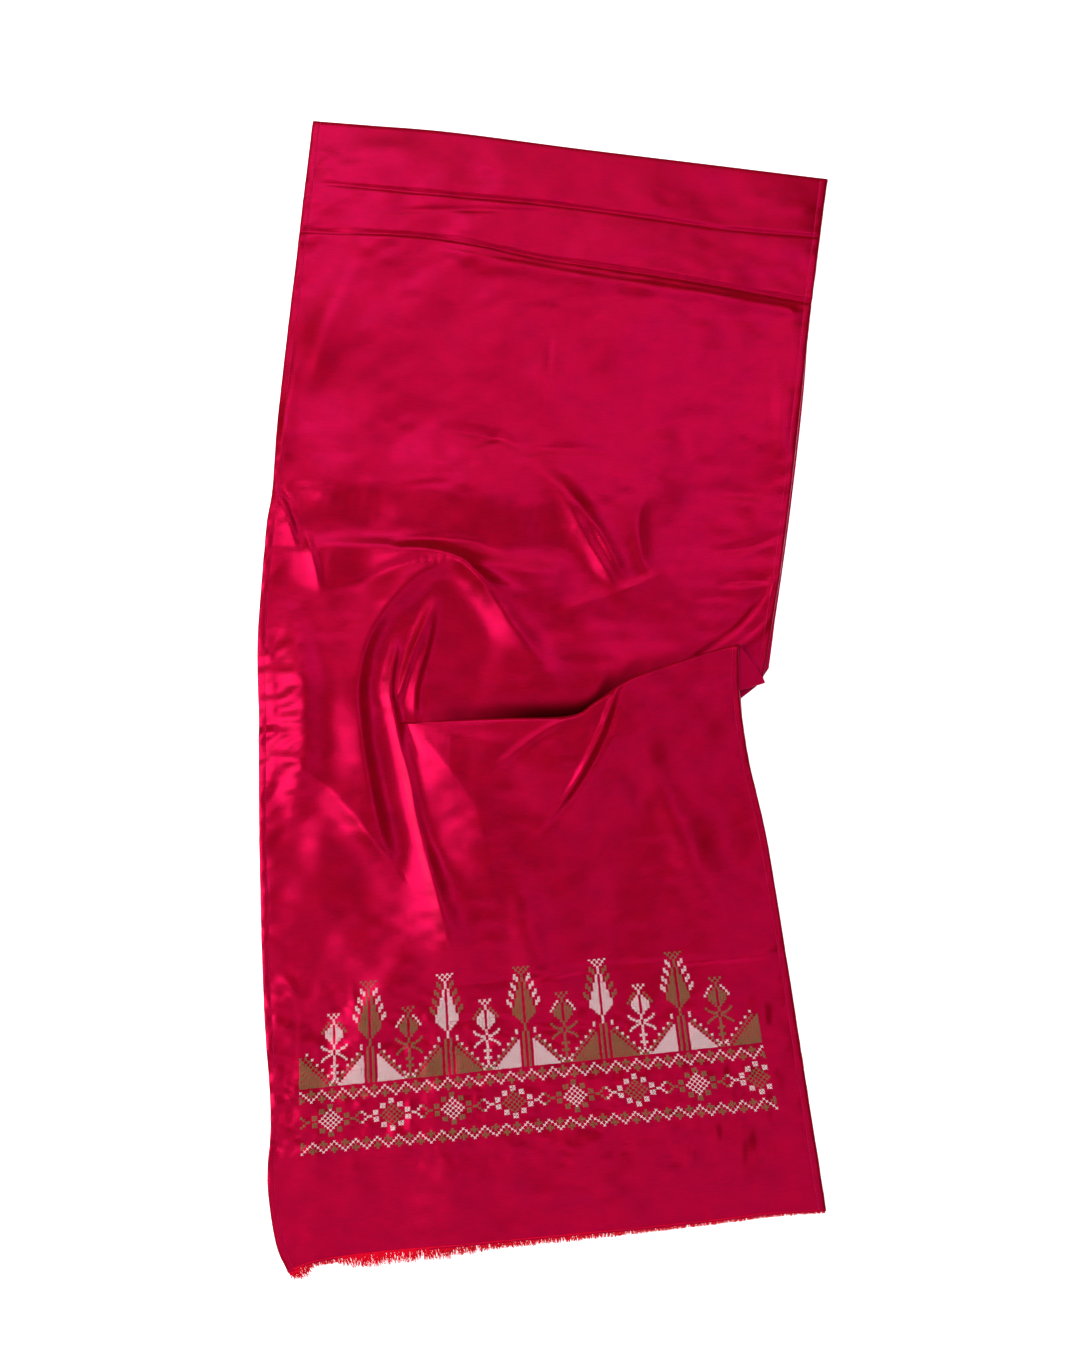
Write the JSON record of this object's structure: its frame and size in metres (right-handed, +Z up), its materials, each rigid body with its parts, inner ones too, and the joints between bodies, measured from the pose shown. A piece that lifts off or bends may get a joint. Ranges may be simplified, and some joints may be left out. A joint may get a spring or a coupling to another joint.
{
  "type": "silk scarf",
  "caption": "Crimson shot silk scarf folded in half and laid flat, pleated at one side, with stitched side hems, a cross-stitched end and a short fringe.",
  "frame": {"origin": "on the surface that the scarf lies on, under the middle of its outline", "axes": "+X across the scarf towards its pleated side, +Y along it towards the top fold, +Z up off the surface"},
  "size_m": [0.4901, 0.9855, 0.0161],
  "materials": {
    "silk": "crimson shot silk with a satin sheen",
    "silk_hidden": "crimson shot silk in shade",
    "hem": "crimson shot silk turned over twice and stitched",
    "fringe": "loose bright red silk threads",
    "thread_white": "off-white embroidery thread",
    "thread_gold": "olive gold embroidery thread",
    "hem_thread": "crimson sewing thread"
  },
  "bodies": {
    "root": {"silk_front": "silk", "silk_back": "silk_hidden", "silk_back_tuck": "silk_hidden", "hem_left": "hem", "hem_right": "hem", "fringe": "fringe"}
  },
  "joints": []
}
